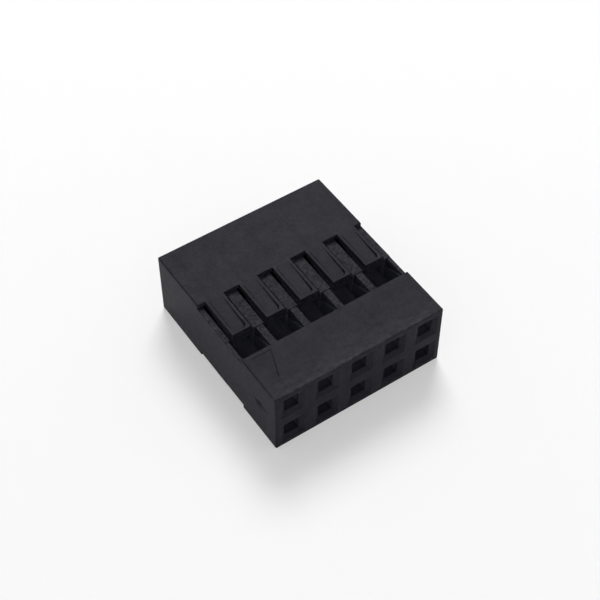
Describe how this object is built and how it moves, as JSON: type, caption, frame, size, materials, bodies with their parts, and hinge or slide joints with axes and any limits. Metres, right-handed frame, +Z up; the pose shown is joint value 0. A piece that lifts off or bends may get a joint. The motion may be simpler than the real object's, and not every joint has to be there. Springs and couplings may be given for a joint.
{
  "type": "crimp connector housing",
  "caption": "Dual-row crimp connector housing with square pin holes, latch tongues over open windows, and open wire entries at the rear.",
  "frame": {"origin": "middle of the underside, on the plane that the housing rests on", "axes": "+X along the row of positions from the marked first one, +Y from the mating face to the wire entries, +Z up"},
  "size_m": [0.0126, 0.0138, 0.0051],
  "materials": {
    "housing_plastic": "black moulded thermoplastic with a fine satin texture"
  },
  "bodies": {
    "root": {"housing": "housing_plastic"}
  },
  "joints": []
}
